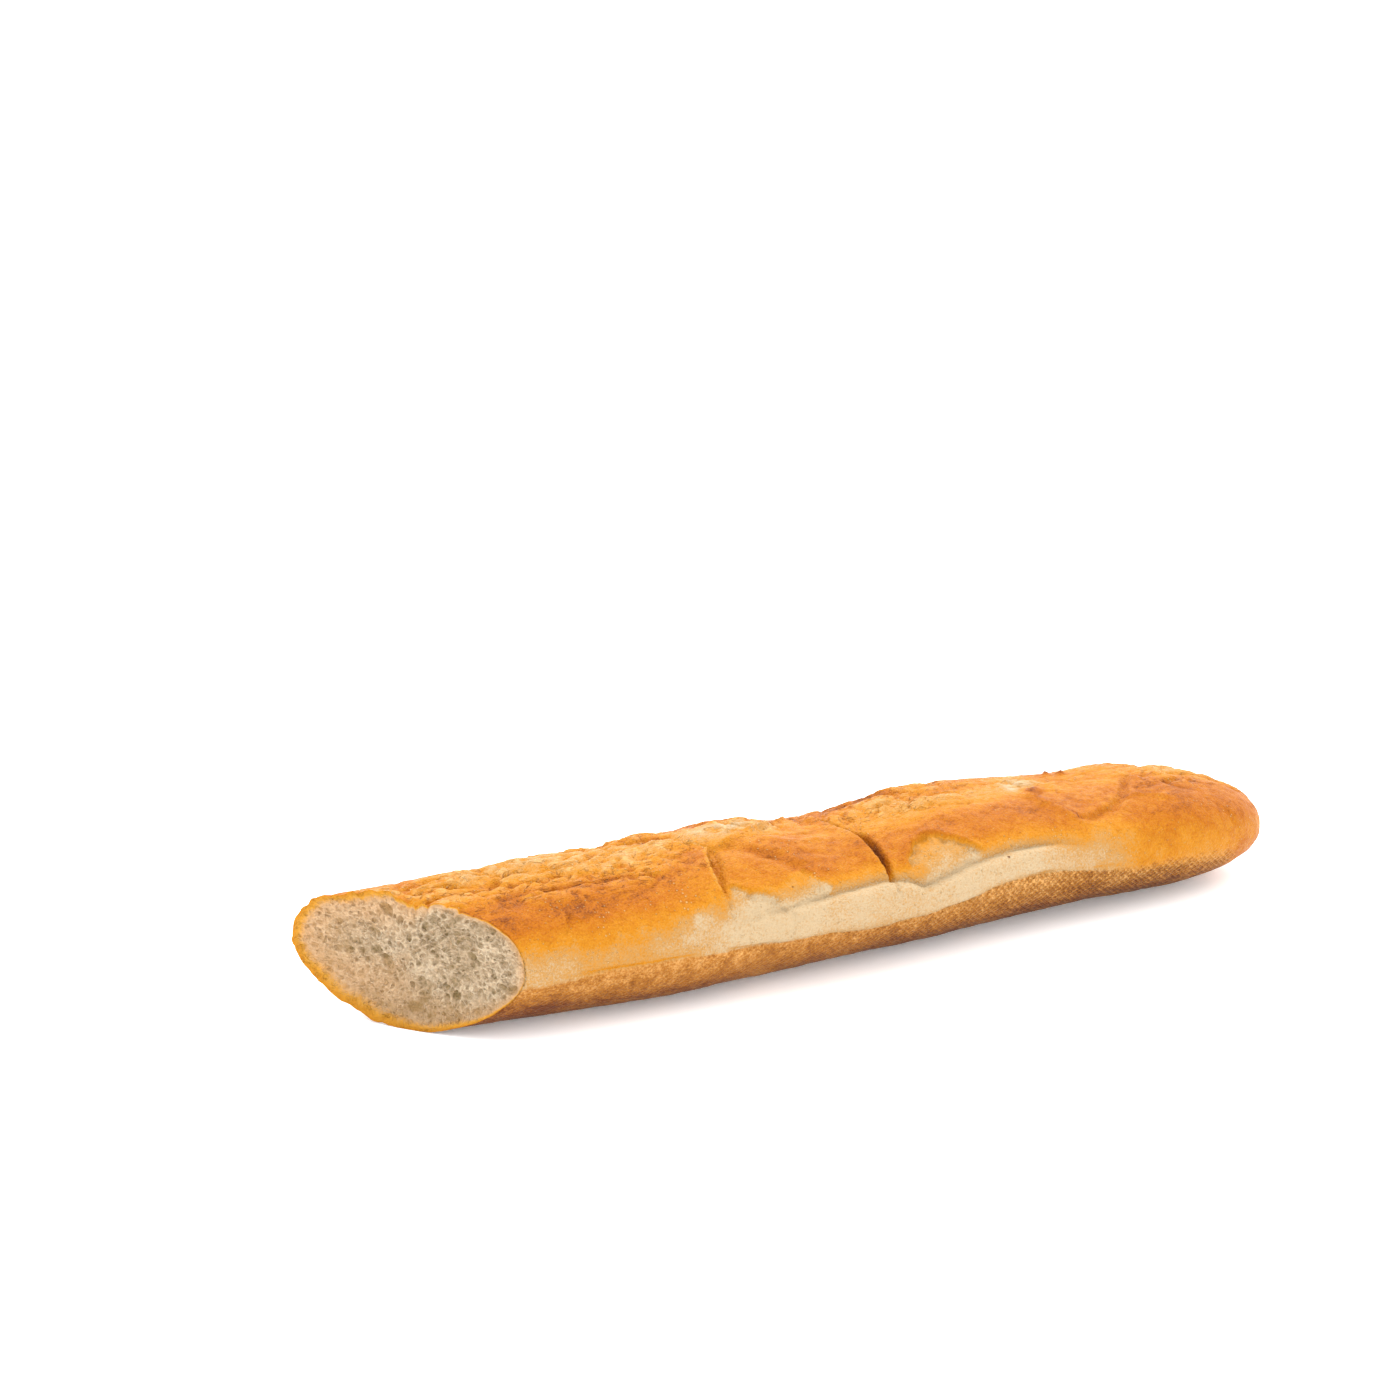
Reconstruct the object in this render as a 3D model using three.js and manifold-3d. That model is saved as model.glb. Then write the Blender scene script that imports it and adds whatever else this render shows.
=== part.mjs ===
// Baguette with one end sliced off on the slant.
// Millimetres, +Z up. X runs along the loaf, with the cut face towards -X and the round tip at +X.
// The origin is under the middle of the loaf's length, on the plane that it rests on.
import * as THREE from 'three';
import { mergeVertices } from 'three/addons/utils/BufferGeometryUtils.js';
import Module from 'manifold-3d';

// Length: the tip, the cut where it crosses the loaf's middle line, and the dough trimmed off beyond it.
const TIP_X = 182;
const CUT_X = -157;
const TRIMMED_LENGTH = 45;

// The knife crosses the loaf on the slant, so the sliced face is longer than the loaf is wide.
const CUT_SLANT = THREE.MathUtils.degToRad(38);
const KNIFE_BLOCK = 240;

// Width, height and sideways drift of the loaf at stations along it.
const STATION_X = [CUT_X - TRIMMED_LENGTH, -157, -89, -21, 47, 114, TIP_X];
const STATION_WIDTH = [64, 65, 69, 70.5, 70, 69, 68];
const STATION_HEIGHT = [45.5, 45.5, 45.5, 46, 45.5, 43, 40];
const STATION_DRIFT = [0, 0, -3.5, -3, 0, 0.5, -1];

// Section: round below, where the dough lay in a trough-shaped tray, and a flatter dome above.
const WAIST_RATIO = 0.56;
const TOP_SQUARENESS = 2.6;
const BELLY_SQUARENESS = 1.9;
const RESTING_SAG = 0.7;

// The whole end closes over this length. Its nose lies a little below the waist.
const TIP_LENGTH = 72;
const TIP_FULLNESS = 2.2;
const NOSE_FLATTENING = 0.85;
const NOSE_DROP = 4.5;

// Swelling between the baker's slashes: lobes along the top, and a paler band that burst out
// along the -Y side.
const LOBE_RISE = 1.2;
const BAND = { fromX: -80, toX: 85, z: 28, halfHeight: 7, rise: 1.4 };

// Slashes in the top crust, each from one point to another in plan, as [x, y].
const SLASHES = [
  { from: [-57, 4], to: [-58, -34], depth: 2.6, halfWidth: 4.5 },
  { from: [4, 12], to: [7, -34], depth: 4.2, halfWidth: 5.5 },
  { from: [24, -30], to: [42, -12], depth: 1.8, halfWidth: 5 },
  { from: [84, -14], to: [98, -27], depth: 2.6, halfWidth: 4.5 },
  { from: [98, -27], to: [122, -6], depth: 2.6, halfWidth: 4.5 },
];

// Mesh fineness.
const SEGMENTS_AROUND = 52;
const RINGS_TIP = 12;
const RINGS_BODY = 40;

const wasm = await Module();
wasm.setup();

function toSolid(geometry) {
  const bare = new THREE.BufferGeometry();
  bare.setAttribute('position', geometry.getAttribute('position').clone());
  bare.setIndex(geometry.getIndex());
  const merged = mergeVertices(bare, 1e-4);
  const vertProperties = new Float32Array(merged.getAttribute('position').array);
  const triVerts = new Uint32Array(merged.getIndex().array);
  return new wasm.Manifold(new wasm.Mesh({ numProp: 3, vertProperties, triVerts }));
}

function toGeometry(solid) {
  const mesh = solid.getMesh();
  const geometry = new THREE.BufferGeometry();
  geometry.setAttribute('position', new THREE.BufferAttribute(mesh.vertProperties, 3));
  geometry.setIndex(new THREE.BufferAttribute(mesh.triVerts, 1));
  geometry.computeVertexNormals();
  return geometry;
}

function stationCurve(values) {
  const curve = new THREE.CubicInterpolant(STATION_X, values, 1, new Float64Array(1));
  return (x) => curve.evaluate(x)[0];
}

const widthAt = stationCurve(STATION_WIDTH);
const heightAt = stationCurve(STATION_HEIGHT);
const driftAt = stationCurve(STATION_DRIFT);

// Distance in plan from a point to a slash, which is a straight stroke of the blade.
function distanceToStroke(x, y, slash) {
  const start = new THREE.Vector2(...slash.from);
  const stroke = new THREE.Vector2(...slash.to).sub(start);
  const offset = new THREE.Vector2(x, y).sub(start);
  const along = THREE.MathUtils.clamp(offset.dot(stroke) / stroke.lengthSq(), 0, 1);
  return offset.distanceTo(stroke.multiplyScalar(along));
}

function bell(distance, halfWidth) {
  return Math.exp(-((distance / halfWidth) ** 2));
}

// How far the crust stands out from the plain section at a point on it.
function crustRise(x, y, z, upness) {
  const topness = THREE.MathUtils.smoothstep(upness, 0.1, 0.6);
  let rise = 0;
  let nearest = Infinity;
  for (const slash of SLASHES) {
    const distance = distanceToStroke(x, y, slash);
    rise -= topness * slash.depth * bell(distance, slash.halfWidth);
    nearest = Math.min(nearest, distance / slash.halfWidth);
  }
  rise += topness * LOBE_RISE * bell(nearest - 2.5, 1.5);
  const inBand = THREE.MathUtils.smoothstep(x, BAND.fromX, BAND.fromX + 25)
    * (1 - THREE.MathUtils.smoothstep(x, BAND.toX - 25, BAND.toX));
  if (y < 0) {
    rise += BAND.rise * inBand * bell(z - BAND.z, BAND.halfHeight);
  }
  return rise;
}

// A point on the crust. fullness is 1 along the body and falls to 0 at the nose.
function crustPoint(x, fullness, across, upness) {
  const waist = WAIST_RATIO * heightAt(x);
  const squareness = upness >= 0 ? TOP_SQUARENESS : BELLY_SQUARENESS;
  const depth = upness >= 0 ? heightAt(x) - waist : waist + RESTING_SAG;
  const sideways = Math.sign(across) * Math.abs(across) ** (2 / squareness);
  const upwards = Math.sign(upness) * Math.abs(upness) ** (2 / squareness);
  const nose = 1 - fullness;
  const y = driftAt(x) + 0.5 * widthAt(x) * fullness * sideways;
  let z = waist + depth * fullness ** NOSE_FLATTENING * upwards;
  z -= nose * NOSE_DROP * (upness < 0 ? 1 : 1 - upness);
  const outward = new THREE.Vector2(sideways, upwards).normalize();
  const rise = fullness * crustRise(x, y, z, upness);
  return [x, y + rise * outward.x, z + rise * outward.y];
}

// A turned blank of unit radius gives the rings. Each vertex then moves out to the loaf's section.
function loafGeometry() {
  const profile = [];
  const bodyStart = TIP_X - TIP_LENGTH;
  const bodyEnd = CUT_X - TRIMMED_LENGTH;
  for (let ring = 0; ring <= RINGS_TIP; ring += 1) {
    const towardsNose = Math.cos((ring / RINGS_TIP) * Math.PI / 2);
    const fullness = Math.max(1 - towardsNose ** TIP_FULLNESS, 0) ** (1 / TIP_FULLNESS);
    profile.push(new THREE.Vector2(fullness, bodyStart + TIP_LENGTH * towardsNose));
  }
  for (let ring = 1; ring <= RINGS_BODY; ring += 1) {
    profile.push(new THREE.Vector2(1, THREE.MathUtils.lerp(bodyStart, bodyEnd, ring / RINGS_BODY)));
  }
  profile.push(new THREE.Vector2(0, bodyEnd));
  const blank = new THREE.LatheGeometry(profile.reverse(), SEGMENTS_AROUND);
  const position = blank.getAttribute('position');
  for (let i = 0; i < position.count; i += 1) {
    const radius = Math.hypot(position.getX(i), position.getZ(i));
    const across = radius > 1e-9 ? position.getZ(i) / radius : 0;
    const upness = radius > 1e-9 ? position.getX(i) / radius : 0;
    position.setXYZ(i, ...crustPoint(position.getY(i), radius, across, upness));
  }
  return blank;
}

function bakedLoaf() {
  const knife = new THREE.BoxGeometry(KNIFE_BLOCK, KNIFE_BLOCK, KNIFE_BLOCK);
  knife.translate(-KNIFE_BLOCK / 2, 0, 0);
  knife.rotateZ(CUT_SLANT);
  knife.translate(CUT_X, 0, 0);
  const table = new THREE.BoxGeometry(3 * KNIFE_BLOCK, KNIFE_BLOCK, KNIFE_BLOCK);
  table.translate(0, 0, -KNIFE_BLOCK / 2);
  return toSolid(loafGeometry()).subtract(toSolid(knife)).subtract(toSolid(table));
}

// The crust's swellings leave the loaf slightly off centre, so it moves to sit evenly on the origin.
function centredOnOrigin(geometry) {
  geometry.computeBoundingBox();
  const middle = geometry.boundingBox.getCenter(new THREE.Vector3());
  return geometry.translate(-middle.x, -middle.y, 0);
}

const crust = new THREE.MeshStandardMaterial({ color: 0xd9943f, roughness: 0.75, metalness: 0 });
const loaf = new THREE.Mesh(centredOnOrigin(toGeometry(bakedLoaf())), crust);
loaf.name = 'baguette_loaf';

const baguette = new THREE.Group();
baguette.name = 'baguette';
baguette.add(loaf);

export default baguette;
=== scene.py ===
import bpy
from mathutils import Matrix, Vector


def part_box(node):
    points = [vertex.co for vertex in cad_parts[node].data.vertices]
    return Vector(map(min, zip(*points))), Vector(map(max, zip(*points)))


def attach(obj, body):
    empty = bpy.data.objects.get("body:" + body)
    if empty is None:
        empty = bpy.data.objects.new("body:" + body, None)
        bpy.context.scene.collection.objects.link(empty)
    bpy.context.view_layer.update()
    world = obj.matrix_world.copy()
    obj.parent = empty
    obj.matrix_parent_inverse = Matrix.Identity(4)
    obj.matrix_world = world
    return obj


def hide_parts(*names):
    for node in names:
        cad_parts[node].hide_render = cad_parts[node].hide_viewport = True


bl_info = {
    "name": "Baguette",
    "version": (1, 0, 0),
    "blender": (4, 5, 0),
    "location": "3D View > Sidebar > Baguette",
    "description": "Bakes a crusty loaf with a sliced end, and sets it on a pale floor",
    "category": "Mesh",
}

import math
from functools import partial

import bpy
import numpy as np
from mathutils import Vector

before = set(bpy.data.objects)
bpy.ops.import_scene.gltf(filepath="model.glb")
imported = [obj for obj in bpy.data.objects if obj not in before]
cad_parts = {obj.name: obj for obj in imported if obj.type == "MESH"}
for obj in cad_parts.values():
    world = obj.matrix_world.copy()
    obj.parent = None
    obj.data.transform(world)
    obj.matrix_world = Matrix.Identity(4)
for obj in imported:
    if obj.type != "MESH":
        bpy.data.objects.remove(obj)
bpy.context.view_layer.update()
LOAF_NODE = "baguette_loaf"
LOAF_LOW, LOAF_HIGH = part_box(LOAF_NODE)

MM = 0.001

# The loaf's plain shape, in millimetres.
# X runs along the loaf from the cut to the tip, and Z is up.

TIP_X = LOAF_HIGH.x / MM + 1.0
CUT_X = TIP_X - 338.8
CUT_SLANT = math.radians(38.0)

STATION_X = (CUT_X, -115, -80, -50, -33, -18, 0, 14, 33, 52, 85, 115, 130, 155, TIP_X)
STATION_HEIGHT = (45.2, 46, 45.8, 48.2, 47.7, 45.4, 43.2, 43.8, 46.2, 46.8, 44.6, 42.2, 42.8, 40.7,
                  38.4)
DRIFT_X = (CUT_X, -89, -21, 47, 114, TIP_X)
STATION_WIDTH = (66, 69, 70.5, 70, 67.5, 68)
STATION_DRIFT = (2.3, -1.2, -0.7, 2.3, 2.8, 1.3)

# The waist's height over the section's, up to the given height, and how square the section is.
WAIST_RATIO = 0.56
WAIST_TOP_HEIGHT = 45.5
TOP_SQUARENESS = 2.6
BELLY_SQUARENESS = 1.9
CUT_BELLY_SQUARENESS = 1.62
# From the cut, the section leans from the knife's slant to upright over this length.
CUT_REACH = 75.0
RESTING_SAG = 0.7
LIFTED_X = 100.0
LIFT_REACH = 34.0
LIFT = 2.0
# The lowest crust flattens out over this height above the floor.
FLOOR_EASE = 0.6
TIP_LENGTH = 72.0
TIP_FULLNESS = 2.6
NOSE_DROP = 4.6
NOSE_X = TIP_X - 0.4

# How finely the outline is sampled before points and rings are spaced along it.
TURN_SAMPLES = 20001
BODY_SAMPLES = 2000
TIP_SAMPLES = 4000
TIP_RADIUS = 30
# Rings lie closer together here, as place, reach and how much closer.
RING_CLUSTERS = ((-57, 7, 1.0), (5, 8, 1.2), (26, 10, 0.4))

# Distances round the section, from the middle of the underside up the -Y side, of the section
# at GIRTH_X. The near waist is at 47.5. Places on the crust are given as (x, girth).
CREST = 93.6
GIRTH = 187.3
GIRTH_X = -21.0

# Marks that the baker's blade and the oven left on the crust, as (x, girth).

# Lines are walked from their first point to their last, with x to the right and girth up.
# Slashes that opened: the crust on the left rolls up and laps over a trench. As line, lip height,
# trench depth, trench width, sag behind it, lap, and how much browner the trench and the lip are
# coloured. The trench's browning is painted shade; the lip's is painted highlight where negative
# and painted shade where positive.
STEPS = (
    (((-57, 59), (-58, 66), (-57, 74), (-54, 82), (-51, 87), (-54, 92), (-62, 98), (-72, 103)),
     1.3, 1.3, 4.5, 1.9, 0.2, 0.03, -0.22),
    (((7, 56), (6, 63), (5, 72), (5, 80), (4, 91), (2, 103), (-3, 118)),
     1.4, 3.7, 5.0, 0.4, 0.2, 0.42, -0.05),
    (((79, 88), (84, 81), (87, 73), (91, 66), (97, 66)), 0.2, -1.1, 5.0, -0.7, 0.0, 0.05, 0.24),
    (((114, 100), (99, 96), (90, 94), (82, 89)), 0.9, 0.2, 1.5, 0.8, 0.0, 0.0, 0.05),
)

# Valleys pressed in where two swellings meet, as line, depth and width.
VALLEYS = (
    (((90, 66), (100, 67), (108, 71), (115, 76), (122, 84), (131, 96)), 1.7, 1.5),
    (((-54, 88), (-42, 87), (-35, 80), (-26, 70), (-21, 66)), 1.7, 3.0),
    (((148, 71), (152, 66), (155, 60), (158, 52)), 0.5, 1.4),
    (((-160, 91), (-149, 88), (-138, 90), (-131, 88), (-124, 93)), 1.7, 1.4),
    (((-162, 103), (-150, 102), (-140, 105), (-128, 103)), 1.7, 1.4),
    (((-118, 97), (-108, 99), (-98, 96), (-88, 99), (-78, 97)), 1.2, 1.3),
    (((-113, 71), (-111, 66), (-113, 61), (-116, 58)), 0.8, 0.9),
    (((-126, 80), (-118, 78), (-110, 81), (-103, 79)), 1.2, 1.2),
    (((-96, 84), (-86, 86), (-78, 84)), 1.0, 1.1),
    (((14, 96), (22, 99), (32, 98), (44, 102)), 0.8, 1.3),
    (((10, 79), (18, 82), (30, 81), (44, 85), (60, 84)), 0.5, 1.4),
    (((12, 92), (24, 90), (38, 92)), 0.7, 1.0),
    (((20, 98), (34, 100), (50, 98)), 0.8, 1.0),
    (((30, 88), (46, 90), (58, 88)), 0.6, 0.9),
    (((44, 95), (56, 97), (66, 95)), 0.7, 0.9),
    (((-44, 80), (-32, 76), (-18, 77), (-6, 74)), 0.6, 1.8),
    (((-34, 72), (-24, 70), (-10, 72)), 0.4, 1.3),
    (((-30, 92), (-18, 90), (-8, 92)), 0.5, 1.0),
    (((136, 84), (148, 86), (158, 84)), 0.5, 1.0),
)

# Thin ridges where stretched crust folded, as line, rise and width.
RIDGES = (
    (((-43, 90), (-34, 94), (-23, 100), (-8, 110)), 1.3, 1.3),
    (((-30, 88), (-20, 84), (-8, 85)), 0.5, 2.0),
    (((113, 76), (122, 77), (132, 71)), 0.6, 1.2),
    (((-137, 52), (-130, 55), (-124, 51)), 0.3, 0.7),
    (((-110, 76), (-113, 70), (-109, 64)), 0.5, 0.8),
    (((26, 96), (34, 93), (42, 94)), 0.6, 1.2),
)

# Torn lower edges of the brown crust, as line and drop. Paler dough shows on the right.
TORN_EDGES = (
    (((-55, 66), (-51, 64), (-45, 60), (-40, 59), (-38, 56), (-31, 53)), 1.0),
    (((-24, 69), (-21, 63), (-16, 59)), 0.7),
    (((16, 59), (17, 65), (21, 70.5), (26, 72.5), (31, 71.5), (36, 67), (41, 63), (47, 60)), 2.0),
)

# Beads of crust and blisters that stand up, as place, radius, rise and how much browner they are.
BEADS = (
    ((104, 109), 1.3, 1.7, 0.45), ((110, 108), 1.3, 1.7, 0.45), ((-38, 107), 1.7, 1.3, 0.35),
    ((131, 90), 2.2, 0.8, 0.10), ((140, 92), 1.8, 0.8, 0.10), ((147, 88), 1.5, 0.5, 0.05),
    ((85, 90), 3.0, 0.9, 0.40), ((-69, 57), 1.4, 0.7, -0.2),
)

# Patches coloured browner or paler than their surroundings, as place, half size and change. Most
# are baking; the pale ones over the crest are painted highlight, where the light from behind
# catches the top, and the browner ones low on the side near the cut are painted shade.
PATCHES = (
    ((-135, 65), (18, 8), 0.07), ((-104, 69), (16, 7), 0.07), ((-82, 75), (12, 6), 0.04),
    ((-64, 64), (6, 8), -0.12), ((-20, 78), (18, 7), 0.06), ((-32, 104), (17, 8), -0.60),
    ((-110, 106), (50, 12), -0.30), ((-36, 66), (9, 6), -0.05), ((28, 84), (22, 9), -0.08),
    ((50, 92), (22, 9), -0.06), ((62, 72), (18, 9), 0.02), ((87, 102), (8, 7), -0.54),
    ((81, 95), (4, 5), -0.40), ((98, 82), (13, 8), 0.08), ((-112, 88), (50, 10), -0.17),
    ((-121, 80), (12, 6), -0.12), ((104, 60), (16, 5), -0.12), ((140, 74), (16, 14), 0.08),
    ((168, 70), (14, 30), 0.10), ((140, 104), (26, 10), -0.30), ((40, 104), (26, 9), -0.18),
    ((-110, 66), (42, 9), 0.12), ((44, 73), (30, 8), 0.08), ((28, 63), (9, 6), -0.24),
    ((-68, 55), (9, 5), -0.16),
)

# The band of dough that burst out along the -Y side: its upper crease and its lower seam.
BAND_TOP = ((-62, 51), (-45, 53), (-32, 54), (-22, 55), (-10, 57), (7, 58), (14, 56), (20, 52.5),
            (26, 53), (42, 55.5), (60, 57), (84, 56), (98, 52))
BAND_SEAM = ((-157, 43), (-124, 44), (-95, 45), (-60, 44.5), (-24, 43), (24, 43), (38, 44.5),
             (48, 47), (74, 48), (90, 46.5), (108, 46), (126, 46), (150, 45), (182, 42))
BAND_START = -66.0
BAND_END = 94.0
BAND_RISE = 2.5
BAND_CREASE_DEPTH = 2.0
SEAM_DEPTH = 0.9

# Painted shade: how much browner creases are coloured, for the shade that falls in them: across
# the loaf for each millimetre of depth, above the band, along its seam, and in the wrinkles.
VALLEY_SHADE = 0.05
BAND_CREASE_SHADE = 0.46
SEAM_SHADE = 0.26
WRINKLE_SHADE = 0.26

# Size of the lumps that the wrinkled top is made of, large and small, and of its pits.
LUMP_SIZE = 9.5
SMALL_LUMP_SIZE = 3.4
PIT_SIZE = 3.2

# Bubbles in the crumb, as how many, smallest radius and largest radius.
BUBBLES = ((700, 0.5, 0.8), (330, 0.8, 1.1), (60, 1.1, 1.5), (8, 1.6, 2.3))
BUBBLE_WALL = 0.30
CRUMB_SEED = 7

# Thickness of the baked rim on the cut face: everywhere, more on the far side, and more below.
# On the far side the wide orange rim is partly painted light, the glow of light through the crust.
RIND = 0.9
RIND_FAR = 5.0
RIND_LOW = 2.6

# The camera's frame in millimetres, which its focal length goes with.
SENSOR_WIDTH = 36.0

# The bake map: the unrolled crust lies below SPLIT and the cut face above it.
MARGIN = 0.01
SPLIT = 0.68


def srgb(hex_colour):
    """Linear RGBA of an sRGB hex colour."""
    channels = [int(hex_colour[i:i + 2], 16) / 255 for i in (1, 3, 5)]
    linear = [c / 12.92 if c <= 0.04045 else ((c + 0.055) / 1.055) ** 2.4 for c in channels]
    return (*linear, 1.0)


# ==========
# Small numeric tools
# ==========

def smooth(value, low, high):
    """0 below low, 1 above high, and an even ease between them."""
    t = np.clip((value - low) / (high - low), 0.0, 1.0)
    return t * t * (3 - 2 * t)


def bell(distance, width):
    return np.exp(-(distance / width) ** 2)


def fading(distance, length):
    """1 up to a distance of 0, then fading out over length."""
    return np.exp(-np.maximum(distance, 0.0) / length)


def through(x, stations, values):
    """A smooth curve through values at stations, read at x."""
    stations, values = np.asarray(stations, float), np.asarray(values, float)
    slope = np.gradient(values, stations)
    i = np.clip(np.searchsorted(stations, x) - 1, 0, len(stations) - 2)
    width = stations[i + 1] - stations[i]
    t = np.clip((x - stations[i]) / width, 0.0, 1.0)
    t2, t3 = t * t, t * t * t
    return ((2 * t3 - 3 * t2 + 1) * values[i] + (t3 - 2 * t2 + t) * width * slope[i]
            + (3 * t2 - 2 * t3) * values[i + 1] + (t3 - t2) * width * slope[i + 1])


def lattice_noise(points, seed):
    """Smooth random values between -1 and 1 on a unit lattice, the same on every run."""
    cell = np.floor(points).astype(np.int64)
    part = points - cell
    ease = part ** 3 * (part * (part * 6 - 15) + 10)
    total = np.zeros(points.shape[:-1])
    for corner in np.ndindex(2, 2, 2):
        key = cell + np.array(corner)
        mixed = (key[..., 0] * 73856093) ^ (key[..., 1] * 19349663) ^ (key[..., 2] * 83492791)
        mixed = (mixed ^ (seed * 668265263)) & 0xFFFFFFFF
        mixed = ((mixed ^ (mixed >> 15)) * 739982445) & 0xFFFFFFFF
        mixed = ((mixed ^ (mixed >> 12)) * 695872825) & 0xFFFFFFFF
        value = ((mixed ^ (mixed >> 15)) & 0xFFFF) / 32767.5 - 1.0
        weight = np.ones(points.shape[:-1])
        for axis, far in enumerate(corner):
            weight = weight * (ease[..., axis] if far else 1 - ease[..., axis])
        total += weight * value
    return total


def layered_noise(points, size, seed, layers=3):
    """Noise whose largest features are about size millimetres."""
    total, strength = 0.0, 1.0
    for layer in range(layers):
        total = total + strength * lattice_noise(points * (2 ** layer) / size, seed + layer)
        strength *= 0.5
    return total


def line_offset(x, girth, line):
    """Distance from a line on the crust, positive on its right, and how far along it, 0 to 1."""
    points = np.asarray(line, float)
    lengths = np.hypot(*np.diff(points, axis=0).T)
    starts = np.concatenate(([0.0], np.cumsum(lengths)))
    best = np.full(x.shape, np.inf)
    side = np.zeros(x.shape)
    along = np.zeros(x.shape)
    for i, (a, b) in enumerate(zip(points[:-1], points[1:])):
        run = b - a
        dx, dg = x - a[0], girth - a[1]
        t = np.clip((dx * run[0] + dg * run[1]) / (run @ run), 0.0, 1.0)
        distance = np.hypot(dx - t * run[0], dg - t * run[1])
        nearer = distance < best
        best = np.where(nearer, distance, best)
        side = np.where(nearer, np.sign(dx * run[1] - dg * run[0]), side)
        along = np.where(nearer, (starts[i] + t * lengths[i]) / starts[-1], along)
    return side * best, along


# ==========
# Shape of the crust
# ==========

def section(across, upness, x, fullness):
    """Points of the plain section, from unit directions across and upness."""
    height = through(x, STATION_X, STATION_HEIGHT)
    width = through(x, DRIFT_X, STATION_WIDTH)
    drift = through(x, DRIFT_X, STATION_DRIFT)
    waist = WAIST_RATIO * np.minimum(height, WAIST_TOP_HEIGHT)
    by_cut = 1 - smooth(x, CUT_X + 10, CUT_X + CUT_REACH)
    belly = BELLY_SQUARENESS + (CUT_BELLY_SQUARENESS - BELLY_SQUARENESS) * by_cut
    squareness = np.where(upness >= 0, TOP_SQUARENESS, belly)
    sag = RESTING_SAG - LIFT * bell(x - LIFTED_X, LIFT_REACH)
    depth = np.where(upness >= 0, height - waist, waist + sag)
    sideways = np.sign(across) * np.abs(across) ** (2 / squareness)
    upwards = np.sign(upness) * np.abs(upness) ** (2 / squareness)
    nose = 1 - fullness
    y = drift + 0.5 * width * fullness * sideways
    z = waist + depth * fullness * upwards
    z = z - nose * NOSE_DROP * np.where(upness < 0, 1.0, 1.0 - 0.7 * upness)
    return np.stack([np.broadcast_to(x, y.shape), y, z], axis=-1)


def spaced_by(density, steps, count, *curves):
    """Each curve read at count places, which lie closer together where density is higher."""
    drawn = np.concatenate(([0.0], np.cumsum(0.5 * (density[1:] + density[:-1]) * steps)))
    wanted = np.arange(count) / count * drawn[-1]
    return tuple(np.interp(wanted, drawn, curve) for curve in curves)


def section_angles(count):
    """Angles round the section that space points evenly, and how far round each is.
    They start at the middle of the underside and go up the -Y side."""
    turn = np.linspace(0, 2 * math.pi, TURN_SAMPLES)
    across, upness = -np.sin(turn), -np.cos(turn)
    points = section(across, upness, np.full_like(turn, GIRTH_X), np.ones_like(turn))
    steps = np.hypot(*np.diff(points[:, 1:], axis=0).T)
    girth = np.concatenate(([0.0], np.cumsum(steps)))
    girth *= GIRTH / girth[-1]
    # Points lie closer together over the top and the -Y side, which carry the fine marks.
    density = 1.0 + 0.55 * smooth(girth, 30, 45) * (1 - smooth(girth, 118, 135))
    return spaced_by(density, np.diff(girth), count, turn, girth)


def ring_stations(count):
    """X, fullness and share of the run of each ring, from the cut to just before the nose."""
    tip_start = TIP_X - TIP_LENGTH
    tip_turn = np.linspace(0, math.pi / 2, TIP_SAMPLES)
    x = np.concatenate((np.linspace(CUT_X, tip_start, BODY_SAMPLES)[:-1],
                        TIP_X - TIP_LENGTH * (1 - np.sin(tip_turn))))
    reach = np.clip((x - tip_start) / TIP_LENGTH, 0.0, 1.0)
    fullness = np.maximum(1 - reach ** TIP_FULLNESS, 0.0) ** (1 / TIP_FULLNESS)
    steps = np.hypot(np.diff(x), TIP_RADIUS * np.diff(fullness))
    run = np.concatenate(([0.0], np.cumsum(steps)))
    run_length = run[-1]
    density = np.ones(x.shape)
    for place, cluster, closer in RING_CLUSTERS:
        density += closer * bell(x - place, cluster)
    ring_x, fullness, run = spaced_by(density, steps, count, x, fullness, run)
    return ring_x, fullness, run / run_length


def slash_steps(x, girth):
    """Rise of the crust beside each opened slash, its lap along X, and its painted shade and
    highlight, carried as browning.
    """
    rise, lap, shade = np.zeros((3, *x.shape))
    for line, lip, drop, width, sag, lapping, trench_shade, lip_shade in STEPS:
        offset, along = line_offset(x, girth, line)
        open_here = (0.3 + 0.7 * smooth(along, 0.0, 0.15)) * (1 - smooth(along, 0.72, 1.0))
        closing = smooth(along, 0.36, 0.62)
        gap = width * (0.4 + 0.6 * smooth(along, 0.0, 0.35)) * (1 - 0.45 * closing)
        behind = smooth(offset, -0.3, 0.6)
        trench = behind * (1 - smooth(offset, gap - 1.0, gap + 1.0))
        sunk = sag * behind * fading(offset, 8.0)
        rise += open_here * lip * bell(offset, 5.0) * (1 - behind)
        rise -= open_here * (drop * trench * (1 - 0.5 * closing) + sunk)
        lap += open_here * lapping * bell(offset + 0.8, 1.5)
        # Painted shade in the trench, and along the lip painted highlight (negative) and shade
        # (positive).
        shade += open_here * (trench_shade * trench * (1 - 0.9 * closing)
                              + lip_shade * bell(offset + 0.6, 0.7))
    return rise, lap, shade


def wrinkle_mask(x, girth):
    """Where the top crust shrank into wrinkles while it cooled."""
    top = smooth(girth, 66, 82) * (1 - smooth(girth, 114, 134))
    start = 1 - smooth(x, -75, -45)
    between = bell(x + 28, 18) * smooth(girth, 92, 100)
    after = bell(x - 34, 26) * smooth(girth, 84, 95)
    heel = smooth(x, 122, 146) * smooth(girth, 72, 88)
    stretched = bell(x - 87, 8) * bell(girth - 100, 8)
    # The far shoulder beside the cut stayed smooth.
    calm = 1 - 0.75 * (1 - smooth(x, CUT_X + 5, CUT_X + 50)) * smooth(girth, 98, 112)
    amount = start + 0.9 * between + 0.6 * after + 0.35 * heel + 0.5 * stretched + 0.25
    return top * calm * np.clip(amount, 0.0, 1.0)


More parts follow.
